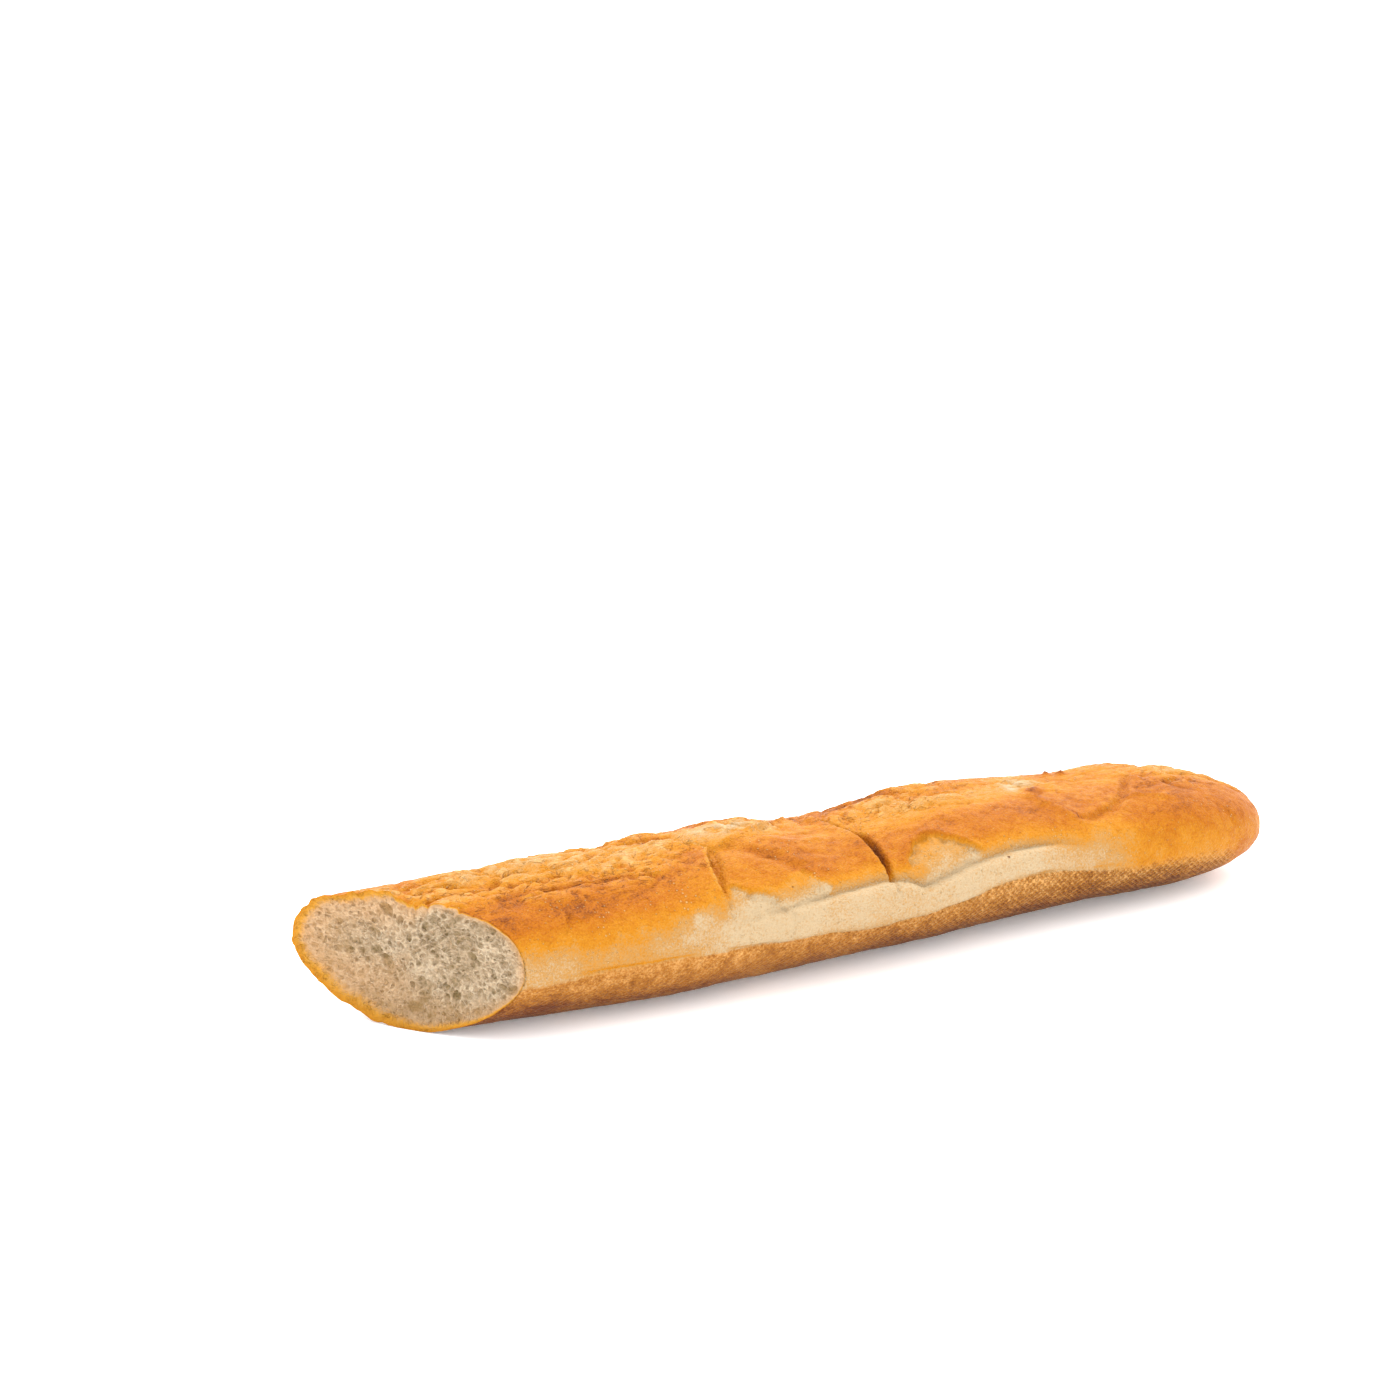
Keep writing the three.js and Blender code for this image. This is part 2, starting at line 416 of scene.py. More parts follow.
def band_place(x, girth):
    """How strongly a place belongs to the burst band, how far up it from 0 to 1, and how far above
    its top and its seam."""
    top = through(x, *zip(*BAND_TOP))
    seam = through(x, *zip(*BAND_SEAM))
    up = (girth - seam) / np.maximum(top - seam, 1.0)
    run = smooth(x, BAND_START, BAND_START + 34) * (1 - smooth(x, BAND_END - 30, BAND_END))
    return run, up, girth - top, girth - seam


def shape_crust(points, x, girth, loaf):
    """Outward rise in millimetres, lap along X, and the values that the crust's colours follow."""
    rise, lap, shade = slash_steps(x, girth)
    # The lines wander a little, as torn dough does.
    x_line = x + 0.7 * layered_noise(points, 4.0, 91, 2)
    girth_line = girth + 0.7 * layered_noise(points, 4.0, 95, 2)
    for line, depth, width in VALLEYS:
        offset, along = line_offset(x_line, girth_line, line)
        ends = smooth(along, 0.0, 0.15) * (1 - smooth(along, 0.8, 1.0))
        dip = depth * (0.25 + 0.75 * ends) * bell(offset, width)
        rise -= dip
        # Painted shade in the valley, deeper where it dips more.
        shade += VALLEY_SHADE * dip
    for line, height, width in RIDGES:
        offset, along = line_offset(x_line, girth_line, line)
        rise += height * bell(offset, width)

    torn = np.zeros(x.shape)
    for line, drop in TORN_EDGES:
        offset, along = line_offset(x_line, girth_line, line)
        ends = smooth(along, 0.0, 0.1) * (1 - smooth(along, 0.9, 1.0))
        under = smooth(offset, -0.5, 0.9)
        rise -= ends * drop * under * fading(offset, 5.0)
        rise += ends * 0.5 * bell(offset + 1.2, 1.2)
        torn = np.maximum(torn, ends * under * fading(offset, 8.0))

    band, up, above_top, above_seam = band_place(x, girth)
    rolled = np.sqrt(np.clip(1 - np.abs(2 * np.clip(up, 0, 1) - 1) ** 2.4, 0.0, 1.0))
    rise += band * BAND_RISE * rolled
    over = smooth(above_top, -0.6, 0.6)
    creased = band * (0.25 + 0.75 * smooth(x, -42, -22))
    rise -= creased * BAND_CREASE_DEPTH * over * fading(above_top, 1.9)
    # Painted shade along the crease above the band.
    shade += creased * BAND_CREASE_SHADE * bell(above_top - 0.4, 0.9)
    broken = smooth(layered_noise(points, 11.0, 33, 2), -0.35, 0.25)
    seam_run = broken * smooth(x, -124, -100) * (1 - smooth(x, 84, 110))
    rise -= SEAM_DEPTH * seam_run * bell(above_seam, 0.9)
    # Painted shade along the seam under the band.
    shade += SEAM_SHADE * seam_run * bell(above_seam - 0.4, 0.55)

    # Wrinkles: puffy lumps that lie along the loaf, with sharp creases between them, and pits.
    wrinkled = wrinkle_mask(x, girth)
    flow = points * np.array([0.42, 1.0, 1.0])
    wander = 2.2 * np.stack([layered_noise(points, 9.0, seed, 3) for seed in (12, 14, 16)], axis=-1)
    large = np.abs(layered_noise(flow + wander, LUMP_SIZE, 11, 1))
    small = np.abs(layered_noise(flow + 0.6 * wander, SMALL_LUMP_SIZE, 19, 2))
    creases = bell(large, 0.09) + 0.55 * bell(small, 0.12)
    pits = smooth(layered_noise(points, PIT_SIZE, 25, 1), 0.42, 0.75)
    rise += torn * layered_noise(points, 3.0, 27, 3)
    # The rim at the cut is a little ragged on the far side, where the knife dragged the crust.
    from_cut = x + points[..., 1] * math.tan(CUT_SLANT)
    at_cut = (1 - smooth(from_cut, CUT_X, CUT_X + 4)) * smooth(girth, 90, 110)
    rise += 0.55 * at_cut * layered_noise(points, 2.2, 29, 2)
    lumps = 2.1 * np.minimum(large, 0.6) + 0.7 * np.minimum(small, 0.6)
    depth = loaf.wrinkle_depth / MM
    rise += depth * wrinkled * (lumps - 0.8 * creases - 0.6 * pits - 0.2)
    rise += 0.45 * layered_noise(points, 34.0, 31, 2)
    rise += 0.14 * layered_noise(points, 4.5, 41, 3)

    brownness = np.zeros(x.shape)
    for (bead_x, bead_girth), radius, height, browner in BEADS:
        reach = np.hypot(x - bead_x, girth - bead_girth)
        rise += height * bell(reach, radius)
        brownness += browner * bell(reach, 1.2 * radius)
    # Painted shade in the wrinkles' creases and pits.
    shade += WRINKLE_SHADE * wrinkled * np.minimum(creases + pits, 1.0)
    return rise, lap, {"band": band, "up": up, "above_top": above_top, "above_seam": above_seam,
                       "torn": torn, "wrinkled": wrinkled, "shade": shade, "lumps": lumps,
                       "beads": brownness}


def browning(points, x, girth, marks):
    """How dark each place is coloured: 0 is raw-looking pale dough and 1 is deep brown, with
    painted shade in creases and trenches and painted highlight on the crest and lumps.
    """
    side = np.minimum(girth, GIRTH - girth)
    # Pale up to the waist, brown on the shoulders, and a little lighter again on the crest: the
    # lighter crest is painted highlight, where the light from above and behind catches it.
    brown = 0.12 + 0.54 * smooth(side, 48, 68) - 0.14 * smooth(side, 76, 93)
    brown += 0.06 * layered_noise(points, 24.0, 51, 3)
    brown += 0.05 * layered_noise(points, 6.0, 61, 3)
    # Painted shade from the creases and trenches, and painted highlight on the tops of the
    # wrinkles' lumps.
    brown += marks["shade"] - 0.12 * marks["wrinkled"] * (marks["lumps"] - 0.8) + marks["beads"]
    wobble_x = x + 2.5 * layered_noise(points, 8.0, 67, 2)
    wobble_girth = girth + 2.5 * layered_noise(points, 8.0, 69, 2)
    for (patch_x, patch_girth), (half_x, half_girth), change in PATCHES:
        reach = np.hypot((wobble_x - patch_x) / half_x, (wobble_girth - patch_girth) / half_girth)
        brown += change * bell(reach, 1.0)
    # Below the waist beside the cut the crust is coloured a little darker, painted shade on the
    # lower side, before it meets the burst band.
    brown += 0.08 * (1 - smooth(x, -98, -66)) * (1 - smooth(side, 52, 64))
    # The heel by the tip took more heat on the side than the middle did, and most below the nose.
    brown += 0.36 * smooth(x, 92, 122) * (1 - smooth(side, 50, 72))
    brown += 0.22 * smooth(x, 145, 168) * (1 - smooth(side, 36, 62))
    on_band = smooth(marks["above_seam"], -1.0, 1.0) * (1 - smooth(marks["above_top"], -0.5, 2.5))
    pale_band = marks["band"] * on_band
    # The band is coloured darker near its seam: painted shade under its rolled lower edge.
    band_tone_and_shade = 0.03 + 0.10 * (1 - smooth(marks["up"], 0.0, 0.35))
    band_tone_and_shade += 0.03 * layered_noise(points, 9.0, 65, 2)
    brown = brown * (1 - pale_band) + band_tone_and_shade * pale_band
    stretched = marks["band"] * bell(marks["above_top"] - 1.0, 4.5) * (marks["above_top"] > 0)
    brown -= 0.20 * stretched
    brown -= 0.42 * marks["torn"]
    return np.clip(brown, 0.0, 1.0)


def tray_cover(x, girth, above_seam):
    """1 where the dough lay against the tray, 0 above the seam on either side."""
    far_seam = GIRTH - 44.0 + 1.6 * np.sin(x / 17.0) + 1.1 * np.sin(x / 6.3 + 1.0)
    far_seam += 8.0 * smooth(x, 110, 165)
    # The print fades in over this height: quickly in the middle, and slowly at both ends.
    faint = 2.0 + 5.0 * (1 - smooth(x, -125, -95)) + 12.0 * smooth(x, 80, 120)
    toward_tip = smooth(x, 100, 140)
    near = 1 - smooth(above_seam - 5.0 * toward_tip, -faint, 0.45 * faint)
    near = near * (1 - 0.40 * toward_tip)
    cover = np.where(girth < CREST, near, smooth(girth, far_seam - 2.0, far_seam + 6.0))
    # Round the nose the dough hung clear of the tray.
    return cover * (1 - 0.9 * smooth(x, TIP_X - 32.0, TIP_X - 8.0))


# ==========
# Shape of the crumb on the cut face
# ==========

def crumb_pits(across, up):
    """Depth of the open bubbles and height of the walls between them, at places on the cut face."""
    rng = np.random.default_rng(CRUMB_SEED)
    pit, wall = np.zeros(across.shape), np.zeros(across.shape)
    low_a, high_a, high_z = across.min(), across.max(), up.max()
    for count, small, large in BUBBLES:
        for _ in range(count):
            a, z = rng.uniform(low_a, high_a), rng.uniform(0, high_z)
            radius = rng.uniform(small, large)
            turn, stretch = rng.normal(0.3, 0.7), rng.uniform(1.0, 1.7)
            near = (np.abs(across - a) < 2.2 * radius) & (np.abs(up - z) < 2.2 * radius)
            if not near.any():
                continue
            da, dz = across[near] - a, up[near] - z
            u = (da * math.cos(turn) + dz * math.sin(turn)) / stretch
            v = dz * math.cos(turn) - da * math.sin(turn)
            distance = np.hypot(u, v)
            bowl = np.sqrt(np.clip(radius ** 2 - distance ** 2, 0.0, None)) * 0.75
            pit[near] = np.maximum(pit[near], bowl)
            rim = BUBBLE_WALL * bell(distance - radius * 1.1, 0.3)
            wall[near] = np.maximum(wall[near], rim)
    return pit, wall


def knife_plane(points):
    """Points on the loaf's outline, slid along X onto the slanted knife cut."""
    cut = points.copy()
    cut[..., 0] = CUT_X - points[..., 1] * math.tan(CUT_SLANT)
    return cut


# ==========
# Building the loaf's mesh
# ==========

def outward_normals(points):
    """Outward unit normals of a grid of points that is closed round its second axis."""
    along = np.gradient(points, axis=0)
    around = np.roll(points, -1, axis=1) - np.roll(points, 1, axis=1)
    normals = np.cross(along, around)
    lengths = np.linalg.norm(normals, axis=-1, keepdims=True)
    return normals / np.maximum(lengths, 1e-9)


def crust_grid(loaf):
    """Points of the crust ring by ring, their girths, each ring's place along the crust, and the
    values that the colours follow."""
    turn, girth = section_angles(loaf.points_around)
    ring_x, fullness, run = ring_stations(loaf.rings)
    across, upness = -np.sin(turn)[None, :], -np.cos(turn)[None, :]
    x = np.broadcast_to(ring_x[:, None], (len(ring_x), len(turn)))
    points = section(across, upness, x, fullness[:, None])
    # Near the cut the rings lean over until the first one lies in the knife's plane.
    lean = 1 - smooth(ring_x, CUT_X, CUT_X + CUT_REACH)
    slid = ring_x[:, None] - points[..., 1] * math.tan(CUT_SLANT) * lean[:, None]
    points = section(across, upness, slid, fullness[:, None])
    points[0] = knife_plane(points[0])
    girths = np.broadcast_to(girth[None, :], x.shape)

    rise, lap, marks = shape_crust(points, points[..., 0], girths, loaf)
    relief = np.minimum(fullness * 1.6, 1.0)[:, None]
    normals = outward_normals(points)
    plain = points.copy()
    points = points + normals * (rise * relief)[..., None]
    points[..., 0] += lap
    points[0] = knife_plane(points[0])
    z = points[..., 2]
    points[..., 2] = np.where(z < FLOOR_EASE, FLOOR_EASE * np.exp(z / FLOOR_EASE - 1), z)
    marks["brown"] = browning(plain, plain[..., 0], girths, marks)
    marks["tray"] = tray_cover(plain[..., 0], girths, marks["above_seam"])
    return points, girths, run, marks


def build_loaf(loaf):
    """One closed mesh: the crust's grid, the nose, and the porous cut face."""
    crust, girths, run, marks = crust_grid(loaf)
    rings, around = crust.shape[:2]
    nose = np.array([[NOSE_X, crust[-1, :, 1].mean(), crust[-1, :, 2].mean()]])

    # The face: rings of twice as many points that shrink from the rim to the middle.
    rim = crust[0]
    fine = 2 * around
    doubled = np.empty((fine, 3))
    doubled[0::2], doubled[1::2] = rim, 0.5 * (rim + np.roll(rim, -1, axis=0))
    middle = doubled.mean(axis=0)
    face_rings = loaf.face_rings
    shrink = 1 - np.arange(1, face_rings + 1) / (face_rings + 1)
    face = middle + (doubled[None] - middle) * shrink[:, None, None]
    across = face[..., 1] / math.cos(CUT_SLANT)
    up = face[..., 2]
    spoke = np.linalg.norm(doubled - middle, axis=1)
    from_rim = spoke[None] * (1 - shrink[:, None])
    pit, wall = crumb_pits(across, up)
    inner = smooth(from_rim, 0.8, 2.2)
    rough = 0.75 * layered_noise(face, 5.5, 71, 4)
    sunk = inner * (pit * 0.7 + 0.35 - wall + rough)
    sunk += 0.25 * (1 - inner) * layered_noise(face, 1.1, 81, 1)
    inward = np.array([math.cos(CUT_SLANT), math.sin(CUT_SLANT), 0.0])
    face = face + inward * sunk[..., None]
    centre = middle + inward * 0.2

    vertices = np.concatenate((crust.reshape(-1, 3), nose, face.reshape(-1, 3), centre[None]))
    nose_index = rings * around
    face_start = nose_index + 1
    centre_index = face_start + face_rings * fine

    i, j = np.meshgrid(np.arange(rings - 1), np.arange(around), indexing="ij")
    k = (j + 1) % around
    crust_quads = np.stack([i * around + j, (i + 1) * around + j,
                            (i + 1) * around + k, i * around + k], -1)
    j = np.arange(around)
    last = (rings - 1) * around
    nose_tris = np.stack([last + j, np.full(around, nose_index), last + (j + 1) % around], -1)
    outer = face_start + 2 * j
    rim_tris = np.concatenate((
        np.stack([j, outer + 1, outer], -1),
        np.stack([j, (j + 1) % around, outer + 1], -1),
        np.stack([(j + 1) % around, face_start + (2 * j + 2) % fine, outer + 1], -1)))
    i, j = np.meshgrid(np.arange(face_rings - 1), np.arange(fine), indexing="ij")
    k = (j + 1) % fine
    face_quads = face_start + np.stack([i * fine + j, i * fine + k,
                                        (i + 1) * fine + k, (i + 1) * fine + j], -1)
    j = np.arange(fine)
    inmost = face_start + (face_rings - 1) * fine
    middle_tris = np.stack([inmost + j, inmost + (j + 1) % fine, np.full(fine, centre_index)], -1)

    groups = [(crust_quads.reshape(-1, 4), 0), (nose_tris, 0), (rim_tris, 1),
              (face_quads.reshape(-1, 4), 1), (middle_tris, 1)]
    faces, material_index = [], []
    for block, material in groups:
        faces.extend(block.tolist())
        material_index.extend([material] * len(block))
    mesh = bpy.data.meshes.new("loaf")
    mesh.from_pydata((vertices * MM).tolist(), [], faces)
    mesh.polygons.foreach_set("material_index", np.array(material_index, np.int32))
    mesh.polygons.foreach_set("use_smooth", np.ones(len(faces), bool))

    count = len(vertices)
    crust_count = rings * around
    face_slice = slice(face_start, centre_index)

    def spread(on_crust, on_nose, on_face):
        values = np.zeros(count)
        values[:crust_count] = np.asarray(on_crust).ravel()
        values[nose_index] = on_nose
        values[face_slice] = np.asarray(on_face).ravel()
        values[centre_index] = np.asarray(on_face).ravel()[-1]
        return values

    rind = rind_width(doubled, middle)
    # Colour attributes: pit gives the bubbles painted shade and wall gives their raised rims
    # painted highlight.
    values = {
        "brown": spread(marks["brown"], marks["brown"][-1].mean(), 0.0),
        "tray": spread(marks["tray"], 0.0, 0.0),
        "pit": spread(0.0, 0.0, np.clip(inner * pit / 1.4, 0, 1)),
        "wall": spread(0.0, 0.0, inner * np.clip(wall / BUBBLE_WALL - rough, 0, 1)),
        "wrinkled": spread(marks["wrinkled"], 0.2, 0.0),
        "warmth": spread(0.0, 0.0, bell(from_rim / rind[None], 3.0)),
        "rind": spread(1.0, 1.0, 1 - np.clip(from_rim / rind[None], 0, 1)),
    }
    # Painted shade: the crumb is coloured darker towards the underside, for the shade that falls on
    # the lower part of the face.
    shaded = 1 - smooth(up, 3.0, 20.0)
    values["pit"][face_slice] += 0.34 * shaded.ravel()
    values["warmth"][face_slice] *= 1 - 0.5 * shaded.ravel()
    for name, value in values.items():
        layer = mesh.attributes.new(name, "FLOAT", "POINT")
        layer.data.foreach_set("value", value.astype(np.float32))
    # Millimetres along the loaf and round from the middle of its underside, for the tray's pattern.
    signed = np.where(girths > CREST, girths - GIRTH, girths)
    tray_grid = np.zeros((count, 3))
    tray_grid[:crust_count, 0] = crust[..., 0].ravel()
    tray_grid[:crust_count, 1] = signed.ravel()
    layer = mesh.attributes.new("tray_grid", "FLOAT_VECTOR", "POINT")
    layer.data.foreach_set("vector", tray_grid.astype(np.float32).ravel())

    add_bake_map(mesh, vertices, run, girths[0], crust_count, around, nose_index, face_start)
    mesh.update()
    mark_rim_sharp(mesh, around)
    mesh.validate()
    return mesh


def rind_width(outline, middle):
    """Thickness of the baked rim: thickest on the far side, where its orange partly paints the glow
    of light through the thin crust, and thinnest on the near side.
    """
    far = smooth(outline[:, 1] - middle[1], -12, 26)
    low = smooth(middle[2] - outline[:, 2], 2, 16) * smooth(outline[:, 1] - middle[1], -30, -6)
    return RIND + RIND_FAR * far + RIND_LOW * low


def read_all(items, name, each=1):
    """One property of every item of a mesh, as a flat array of whole numbers."""
    values = np.empty(len(items) * each, np.int32)
    items.foreach_get(name, values)
    return values


def add_bake_map(mesh, vertices, run, girth, crust_count, around, nose_index, face_start):
    """UV map for baked copies: the crust unrolled in one piece below, the cut face above."""
    uv = np.zeros((len(vertices), 2))
    u = MARGIN + (1 - 2 * MARGIN) * np.concatenate((run, [1.0]))
    v = MARGIN + (SPLIT - 2 * MARGIN) * girth / GIRTH
    uv[:crust_count, 0] = np.repeat(u[:-1], around)
    uv[:crust_count, 1] = np.tile(v, len(run))
    rim = vertices[:around]
    low_a, high_a = -rim[:, 1].max(), -rim[:, 1].min()
    low_z, high_z = rim[:, 2].min(), rim[:, 2].max()

    def on_face(places):
        across = (-places[:, 1] - low_a) / (high_a - low_a)
        up = (places[:, 2] - low_z) / (high_z - low_z)
        return np.stack([MARGIN + (1 - 2 * MARGIN) * across,
                         SPLIT + MARGIN + (1 - SPLIT - 2 * MARGIN) * up], -1)

    uv[face_start:] = on_face(vertices[face_start:])
    corner = read_all(mesh.loops, "vertex_index")
    starts = read_all(mesh.polygons, "loop_start")
    material = read_all(mesh.polygons, "material_index")
    polygon = np.repeat(np.arange(len(starts)), read_all(mesh.polygons, "loop_total"))
    at = uv[corner]
    # Corners of the last column, which joins on to the first, take the far end of the crust.
    column = corner % around
    highest = np.maximum.reduceat(np.where(corner < crust_count, column, -1), starts)
    lowest = np.minimum.reduceat(np.where(corner < crust_count, column, around), starts)
    wraps = (highest == around - 1) & (lowest == 0) & (material == 0)
    at[wraps[polygon] & (column == 0) & (corner < crust_count), 1] = SPLIT - MARGIN
    at_nose = corner == nose_index
    next_column = (np.arange(at_nose.sum()) + 0.5) % around
    at_girth = np.interp(next_column, np.arange(around + 1), np.append(girth, GIRTH))
    at[at_nose, 0] = u[-1]
    at[at_nose, 1] = MARGIN + (SPLIT - 2 * MARGIN) * at_girth / GIRTH
    on_rim = (material[polygon] != 0) & (corner < around)
    at[on_rim] = on_face(vertices[corner[on_rim]])
    layer = mesh.uv_layers.new(name="OFBake")
    layer.uv.foreach_set("vector", at.astype(np.float32).ravel())


def mark_rim_sharp(mesh, around):
    """Keep the shading of the crust and of the cut face apart."""
    ends = read_all(mesh.edges, "vertices", each=2).reshape(-1, 2)
    mesh.edges.foreach_set("use_edge_sharp", (ends < around).all(axis=1))


# ==========
# Materials
# ==========

def per_mm(size):
    """Scale of a pattern whose features are size millimetres."""
    return 1 / (size * MM)


def feed(tree, node, feeds=(), **named):
    """Link or set a node's inputs: feeds in order, and named ones with underscores for spaces."""
    inputs = [socket for socket in node.inputs if socket.enabled]
    by_name = [(node.inputs[name.replace("_", " ")], value) for name, value in named.items()]
    for socket, value in (*zip(inputs, feeds), *by_name):
        if isinstance(value, bpy.types.NodeSocket):
            tree.links.new(value, socket)
        elif value is not None:
            socket.default_value = value


def add_node(tree, kind, *feeds, out=0, stops=None, **settings):
    """Add a node and give back one of its outputs. The kind may carry an operation after a space.
    Feeds are sockets or values for its inputs in order, settings are properties of the node or
    inputs by name, and stops are a colour ramp's places and colours."""
    kind, _, operation = kind.partition(" ")
    node = tree.nodes.new("ShaderNode" + kind)
    if operation:
        node.operation = operation
    named = {}
    for name, value in settings.items():
        if hasattr(node, name):
            setattr(node, name, value)
        else:
            named[name] = value
    feed(tree, node, feeds, **named)
    for number, (place, shade) in enumerate(stops or ()):
        points = node.color_ramp.elements
        point = points[number] if number < 2 else points.new(place)
        point.position, point.color = place, tuple(shade)
    return [socket for socket in node.outputs if socket.enabled][out]


def new_material(name):
    """A new material, its node tree and its shader."""
    material = bpy.data.materials.new(name)
    material.use_nodes = True
    return material, material.node_tree, material.node_tree.nodes["Principled BSDF"]


def wheat_crust(colours):
    """Wheat crust, steamed and oven-baked: matt to faintly glossy, with fine blisters and creases
    and, below, the print of a perforated tray."""
    material, tree, shader = new_material("Oven-baked wheat crust")
    add = partial(add_node, tree)
    place = add("TexCoord", out=3)
    brown, tray, wrinkled = (add("Attribute", attribute_name=name, out=2)
                             for name in ("brown", "tray", "wrinkled"))
    grid = add("Attribute", attribute_name="tray_grid", out=1)

    # Patches of heat about 14 mm across, mottling of about 3 mm, and grain of 0.7 mm.
    patches, mottle, grain = (
        add("TexNoise", place, Scale=per_mm(size), Detail=detail, Roughness=0.6)
        for size, detail in ((14, 3.0), (3.0, 3.0), (0.7, 2.0)))
    # Flakes on the wrinkled top: thin creases between lumps about 3 mm across.
    flakes = add("TexNoise", place, noise_type="RIDGED_MULTIFRACTAL", Scale=per_mm(3.2),
                 Detail=3.0, Roughness=0.65)
    flaky = add("Math MULTIPLY", flakes, wrinkled)
    # Hairline creases that come and go, mostly along the loaf, between folds of 3.6 mm.
    drawn_out = add("Mapping", place, Scale=(0.45, 1.0, 1.0))
    folds = add("TexNoise", drawn_out, Scale=per_mm(3.6), Detail=2.0, Roughness=0.55,
                Distortion=0.6)
    folds = add("Math SUBTRACT", folds, 0.5)
    folds = add("Math ABSOLUTE", folds)
    crease = add("MapRange", folds, 0.0, 0.028, 1.0, 0.0)
    broken = add("MapRange", mottle, 0.44, 0.56)
    crease = add("Math MULTIPLY", crease, broken)
    creased = add("Math MULTIPLY", wrinkled, 2.0, use_clamp=True)
    crease = add("Math MULTIPLY", crease, creased)
    # Pale dough is evenly coloured; the patches and mottling come with the browning.
    heat, spots, dust, worn, blotch = (
        add("Math MULTIPLY_ADD", pattern, spread, shift) for pattern, spread, shift in (
            (patches, 0.26, -0.13), (mottle, 0.40, -0.20), (grain, 0.52, -0.26),
            (patches, 0.9, -0.45), (mottle, 0.8, -0.02)))
    uneven = add("Math ADD", heat, spots)
    even = add("MapRange", brown, 0.15, 0.48, 0.30, 1.0)
    level = brown
    # The hairline creases are coloured browner: painted shade in them.
    for pattern, amount in ((uneven, even), (flaky, -0.05), (crease, 0.12)):
        level = add("Math MULTIPLY_ADD", pattern, amount, level)
    level = add("Math ADD", level, dust, use_clamp=True)
    baked = add("ValToRGB", level, stops=(
        (0.00, colours.pale), (1.00, colours.brown), (0.20, colours.straw),
        (0.44, colours.golden), (0.76, colours.orange)))

    # Blisters: light specks 0.6 mm across, about 2 mm apart, in drifts. They are paler blisters and
    # painted glints of light in one.
    blisters = add("TexVoronoi", place, Scale=per_mm(1.9))
    drift = add("TexNoise", place, Scale=per_mm(16), Detail=1.0)
    reach = add("Math MULTIPLY_ADD", drift, 0.38, -0.02)
    speck = add("Math SUBTRACT", reach, blisters)
    speck = add("Math MULTIPLY", speck, 9.0, use_clamp=True)
    above_tray = add("Math SUBTRACT", 1.0, tray)
    speck = add("Math MULTIPLY", speck, above_tray)
    # Painted sheen: the wrinkled top is coloured paler, peach, in patches about 3 mm across,
    # standing in for the light from behind catching it.
    painted_sheen = add("MapRange", mottle, 0.46, 0.66, 0.0, 0.45)
    painted_sheen = add("Math MULTIPLY", painted_sheen, wrinkled)
    golden_yet = add("MapRange", brown, 0.35, 0.62, 1.0, 0.15)
    painted_sheen = add("Math MULTIPLY", painted_sheen, golden_yet)
    paler = add("Math MULTIPLY_ADD", speck, 0.40, painted_sheen, use_clamp=True)
    crust = add("Mix", paler, baked, tuple(colours.blister_and_sheen), data_type="RGBA")

    # Tray print: dimples 1.8 mm apart in diagonal rows, clearest towards the tip.
    spacing = 1.8
    turned = add("Mapping", grid, Rotation=(0, 0, math.radians(45)),
                 Scale=(1 / spacing, 1 / spacing, 0))
    dimples = add("TexVoronoi", turned, Scale=1.0, Randomness=0.35, voronoi_dimensions="2D")
    along = add("SeparateXYZ", grid)
    clear = add("MapRange", along, -40.0, 110.0, 0.25, 1.0)
    dimple = add("MapRange", dimples, 0.15, 0.6, 1.0, 0.0, interpolation_type="SMOOTHSTEP")
    dimple = add("Math MULTIPLY", dimple, clear)
    # It is darkest towards the ground and near the cut, and lighter at the tip.
    from_middle = add("SeparateXYZ", grid, out=1)
    from_middle = add("Math ABSOLUTE", from_middle)
    low = add("MapRange", from_middle, 28.0, 46.0, 0.42, -0.12)
    by_cut = add("MapRange", along, -130.0, -50.0, 0.10, 0.0)
    by_tip = add("MapRange", along, 90.0, 150.0, 0.0, -0.07)
    under = worn
    for part in (blotch, low, by_cut, by_tip):
        under = add("Math ADD", under, part)
    for pattern, amount in ((dimple, 0.31), (grain, 1.1)):
        under = add("Math MULTIPLY_ADD", pattern, amount, under)
    under = add("Math SUBTRACT", under, 0.62, use_clamp=True)
    under = add("ValToRGB", under, stops=(
        (0.0, colours.tray_light), (1.0, colours.tray_dark), (0.5, colours.tray_mid)))
    ragged = add("Math ADD", spots, tray)
    on_tray = add("MapRange", ragged, 0.30, 0.70, interpolation_type="SMOOTHSTEP")
    whole = add("Mix", on_tray, crust, under, data_type="RGBA")

    # Pinholes: dark pricks 0.8 mm across, some 17 mm apart.
    pricks = add("TexVoronoi", place, Scale=per_mm(17))
    prick = add("MapRange", pricks, 0.016, 0.036, 0.85, 0.0)
    whole = add("Mix", prick, whole, tuple(colours.brown), data_type="RGBA")

    rough = add("Math MULTIPLY_ADD", mottle, 0.30, 0.36)
    pressed = add("Math MULTIPLY", dimple, on_tray)
    relief = add("Math MULTIPLY", mottle, 0.8)
    for pattern, height in ((grain, 0.46), (flaky, -0.30), (speck, 0.30), (crease, -0.30),
                            (pressed, -0.75), (prick, -0.8)):
        relief = add("Math MULTIPLY_ADD", pattern, height, relief)
    bumps = add("Bump", Distance=1.3 * MM, Height=relief)
    feed(tree, shader, Base_Color=whole, Roughness=rough, Specular_IOR_Level=0.10, IOR=1.45,
         Normal=bumps)
    return material


